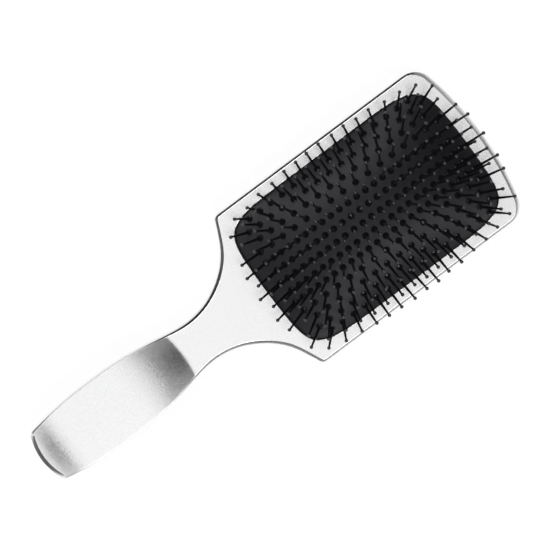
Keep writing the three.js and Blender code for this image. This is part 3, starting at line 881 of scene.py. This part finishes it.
def rib(shape, x, y, half_x, half_y):
    """A straight rib that carries the cushion's tray, with drafted sides and a chamfered top."""
    profile = [
        (0, WALL + ROOT_GAP),
        (RIB_DRAFT, RIB_TOP - RIB_CHAMFER),
        (RIB_DRAFT + RIB_CHAMFER, RIB_TOP),
    ]
    corners = [(-1, -1), (1, -1), (1, 1), (-1, 1)]
    rings = [
        shape.ring([(x + sx * (half_x - inset), y + sy * (half_y - inset), z) for sx, sy in corners])
        for inset, z in profile
    ]
    shape.bands(rings)
    shape.bottom(rings[0])
    shape.top(rings[-1])


# ---- Air cushion ----

def dome(shape, offset, rim):
    """Rings of a dome from its crown out to the rim, and the point at its crown."""
    even = DOME_RINGS - RINGS_REPLACED
    shares = [i / DOME_RINGS for i in range(1, even + 1)]
    for i in range(1, RIM_RINGS + 1):
        shares.append(1 - RINGS_REPLACED / DOME_RINGS * (1 - i / RIM_RINGS) ** RIM_CROWDING)
    half_x = CUSHION_LENGTH / 2 + offset
    half_y = CUSHION_WIDTH / 2 + offset
    rings = []
    for share in shares:
        ring = []
        for x, y in cushion_loop(offset):
            px, py = (x - CUSHION_X) * share, y * share
            ring.append((px + CUSHION_X, py, rim + DOME_HEIGHT * crown(px / half_x, py / half_y)))
        rings.append(shape.ring(ring))
    return rings, shape.point((CUSHION_X, 0, rim + DOME_HEIGHT))


def rubber_pad():
    """The domed sheet with its wall and the flange that the frame clamps."""
    shape = Shape()
    outside, top = dome(shape, 0, HEAD_THICKNESS)
    inside, under = dome(shape, -RUBBER, HEAD_THICKNESS - RUBBER)
    shape.bands(outside[::-1])
    shape.fan(outside[0], top)
    shape.bands(inside)
    shape.fan(inside[0][::-1], under)
    bottom = FLANGE_TOP - RUBBER
    section = [
        (-RUBBER, bottom),
        (FLANGE - FLANGE_CHAMFER, bottom),
        (FLANGE, bottom + FLANGE_CHAMFER),
        (FLANGE, FLANGE_TOP - FLANGE_CHAMFER),
        (FLANGE - FLANGE_CHAMFER, FLANGE_TOP),
        (FLANGE_FILLET, FLANGE_TOP),
        (0, FLANGE_TOP + FLANGE_FILLET),
    ]
    shape.bands([inside[-1], *(cushion_ring(shape, offset, z) for offset, z in section), outside[-1]])
    piece = shape.piece("rubber_pad", RUBBER_FINISH)
    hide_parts("rubber_cushion")
    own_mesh(piece)


# ---- Pins ----

def pin_profile():
    """Radius and height along a pin, from its sunk foot to just below the pole of the ball."""
    profile = [(COLLAR_RADIUS, -PIN_SINK), (COLLAR_RADIUS, COLLAR_EDGE * COLLAR_WALL)]
    for i in range(COLLAR_STEPS + 1):
        t = i / COLLAR_STEPS
        radius = SHAFT_RADIUS + (COLLAR_RADIUS - COLLAR_SET - SHAFT_RADIUS) * (1 - t) ** COLLAR_FLARE
        profile.append((radius, COLLAR_EDGE + (COLLAR_HEIGHT - COLLAR_EDGE) * t))
    ball_start = math.asin(NECK_RADIUS / BALL_RADIUS)
    shaft_top = PIN_LENGTH - BALL_RADIUS * math.cos(ball_start)
    for i in range(1, SHAFT_STEPS):
        t = i / SHAFT_STEPS
        radius = SHAFT_RADIUS + (NECK_RADIUS - SHAFT_RADIUS) * t
        profile.append((radius, COLLAR_HEIGHT + (shaft_top - COLLAR_HEIGHT) * t))
    for i in range(BALL_STEPS):
        turn = ball_start + (math.pi - ball_start) * i / BALL_STEPS
        profile.append((BALL_RADIUS * math.sin(turn), PIN_LENGTH - BALL_RADIUS * math.cos(turn)))
    return profile


PIN_PROFILE = pin_profile()


def add_pin(shape, base, direction):
    """A pin on its base, turned from upright to its direction."""
    turned = direction.to_track_quat("Z", "Y").to_matrix()
    rings = []
    for radius, height in PIN_PROFILE:
        upright = circle(0, 0, radius, height, PIN_SIDES)
        rings.append(shape.ring([base + turned @ Vector(p) for p in upright]))
    shape.bands(rings)
    shape.bottom(rings[0])
    shape.fan(rings[-1], shape.point(base + direction * (PIN_LENGTH + BALL_RADIUS)))


def pin_place(x, y, row, i):
    """Where a pin stands on the dome, and the direction in which it fans out."""
    along = (x - ROWS_X) / (CUSHION_LENGTH / 2)
    aside = y / (CUSHION_WIDTH / 2)
    fan_x = FAN_ALONG["middle"] + FAN_ALONG["end"] * along ** 2 - FAN_ALONG["side"] * aside ** 2
    sideways = FAN_ASIDE["side"] * aside ** 2 - FAN_ASIDE["rim"] * aside ** 4
    fan_y = FAN_ASIDE["middle"] + sideways - FAN_ASIDE["end"] * along ** 2
    scatter_x = PIN_SCATTER * math.sin(SCATTER_ALONG[0] * row + SCATTER_ALONG[1] * i)
    scatter_y = PIN_SCATTER * math.cos(SCATTER_ASIDE[0] * row + SCATTER_ASIDE[1] * i)
    direction = Vector((along * fan_x + scatter_x, aside * fan_y + scatter_y, 1))
    return Vector((x, y, dome_height(x, y))), direction.normalized()


def row_of_pins(row):
    """The places and directions of a row's pins, from the butt's end of the cushion."""
    share = row / ROWS_EACH_SIDE
    y = CUSHION_WIDTH / 2 * (ROW_SPREAD * share - ROW_CLOSING * share ** 3)
    count = ROW_PINS[abs(row)]
    spacing = DENSE_PITCH if abs(row) <= DENSE_ROWS_EACH_SIDE else OPEN_PITCH
    pitch = spacing * CUSHION_LENGTH * (1 - ROW_BOW * (2 * y / CUSHION_WIDTH) ** 2)
    places = []
    for i in range(count):
        even = (i - (count - 1) / 2) * pitch
        x = ROWS_X + even * (1 - PITCH_CLOSING * (2 * even / CUSHION_LENGTH) ** 2)
        places.append(pin_place(x, y, row, i))
    return places


def pins():
    """A piece for each strip of a row, riding on the strip's own body."""
    for row in range(-ROWS_EACH_SIDE, ROWS_EACH_SIDE + 1):
        places = row_of_pins(row)
        ends = [math.floor(strip * len(places) / STRIPS + 0.5) for strip in range(STRIPS + 1)]
        for strip in range(STRIPS):
            number = f"{row + ROWS_EACH_SIDE + 1:02d}_strip_{strip + 1}"
            shape = Shape()
            for base, direction in places[ends[strip]:ends[strip + 1]]:
                add_pin(shape, base, direction)
            node = f"pin_row_{number}"
            piece = shape.piece(f"pins_{number}", NYLON, body=node)
            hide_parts(node)


def dress_hidden_pieces():
    """The tray and the retaining frame keep their solids, with the plastic on them."""
    for node in ("cushion_tray", "cushion_retaining_frame"):
        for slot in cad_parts[node].material_slots:
            slot.material = PLASTIC


# ---- Studio ----

def place_camera():
    """A distant camera over the bristle face, with the brush turned as in the photograph."""
    camera = add_object("camera", bpy.data.cameras.new("camera"))
    along = Vector((1, 0, 0))
    toward = Vector((0, math.sin(VIEW_TILT), math.cos(VIEW_TILT)))
    aside = toward.cross(along)
    right = along * math.cos(VIEW_TURN) - aside * math.sin(VIEW_TURN)
    up = along * math.sin(VIEW_TURN) + aside * math.cos(VIEW_TURN)
    turned = Matrix((right, up, toward)).transposed().to_4x4()
    spot = (Vector(VIEW_CENTRE) + toward * VIEW_DISTANCE) * MM
    camera.matrix_world = Matrix.Translation(spot) @ turned
    camera.data.sensor_width = SENSOR
    camera.data.lens = PIXELS_PER_MM * SENSOR * VIEW_DISTANCE / PHOTO
    camera.data.clip_start = CLIP_NEAR * MM
    camera.data.clip_end = CLIP_FAR * MM
    bpy.context.scene.camera = camera


def studio_light():
    """A white dome with a dark gap towards the head and one towards the butt, dim walls, and a light
    box on each side. The camera itself sees plain white."""
    world = bpy.data.worlds.new("studio")
    bpy.context.scene.world = world
    world.use_nodes = True
    tree = Tree(world.node_tree)
    x, y, _ = tree.split(tree.node("ShaderNodeTexCoord", output="Generated"))
    wide = tree.absolute(y)
    narrow = tree.fade(wide, *GAP_ASIDE)
    middle = tree.fade(tree.absolute(y + MIRROR_LINE), *MIDDLE_ASIDE)
    head_gap = (HEAD_GAP_DEPTH * tree.step(x, *HEAD_GAP) + FAR_GAP_DEPTH * tree.step(x, *FAR_GAP)) * narrow
    head_gap = head_gap * (GAP_EDGE_SHARE + GAP_MIDDLE_SHARE * middle)
    butt_gap = tree.fade(x, *BUTT_GAP_START) * tree.step(x, *BUTT_GAP_END) * narrow * middle
    dome_light = (1 - head_gap - butt_gap) * tree.step(wide, *SIDE_FALL, 1.0, SIDE_LEVEL) * DOME_LEVEL

    near_wall = tree.fade(y, *NEAR_WALL) * tree.step(x, *NEAR_WALL_BUTT, NEAR_WALL_SHARE, 1.0)
    head_wall = tree.step(x, *HEAD_WALL) * tree.step(wide, *HEAD_WALL_ASIDE, *HEAD_WALL_LEVELS)
    butt_wall = BUTT_LEVEL * tree.fade(x, *BUTT_WALL)
    wall_light = WALL_LEVEL + NEAR_LEVEL * near_wall + head_wall + butt_wall

    side_box = tree.step(wide, *BOX_INNER) * tree.fade(wide, *BOX_OUTER)
    side_box = side_box * tree.fade(tree.absolute(x), *BOX_ENDS)

    horizon = tree.step(x * x + y * y, *HORIZON)
    light = dome_light * (1 - horizon) + wall_light * horizon + BOX_LEVEL * side_box
    seen = tree.node("ShaderNodeLightPath", output="Is Camera Ray")
    strength = light * (1 - seen) + seen
    background = tree.node("ShaderNodeBackground", None, {"Color": (1, 1, 1, 1), "Strength": strength})
    tree.node("ShaderNodeOutputWorld", None, {"Surface": background})


def pale_floor():
    """A pale floor that the camera and mirrors see as white, with the brush's shadow kept."""
    material = bpy.data.materials.new("pale_floor")
    material.use_nodes = True
    tree = Tree(material.node_tree)
    seen = tree.node("ShaderNodeLightPath", output="Is Camera Ray")
    mirrored = tree.beside(seen, "Is Glossy Ray") + tree.beside(seen, "Is Transmission Ray")
    glow = {"Color": (1, 1, 1, 1), "Strength": FLOOR_GLOW * (seen + mirrored)}
    lit = tree.node("ShaderNodeBsdfDiffuse", None, {"Color": (FLOOR_TONE, FLOOR_TONE, FLOOR_TONE, 1)})
    both = tree.node("ShaderNodeAddShader", None, {0: lit, 1: tree.node("ShaderNodeEmission", None, glow)})
    tree.node("ShaderNodeOutputMaterial", None, {"Surface": both})

    mesh = bpy.data.meshes.new("floor")
    half = FLOOR_HALF * MM
    low = -FLOOR_GAP * MM
    corners = [(-half, -half, low), (half, -half, low), (half, half, low), (-half, half, low)]
    mesh.from_pydata(corners, [], [(0, 1, 2, 3)])
    mesh.materials.append(material)
    add_object("floor", mesh)


bpy.context.scene.view_settings.view_transform = "Standard"
place_camera()
studio_light()
pale_floor()
front_moulding()
back_moulding()
rubber_pad()
pins()
dress_hidden_pieces()
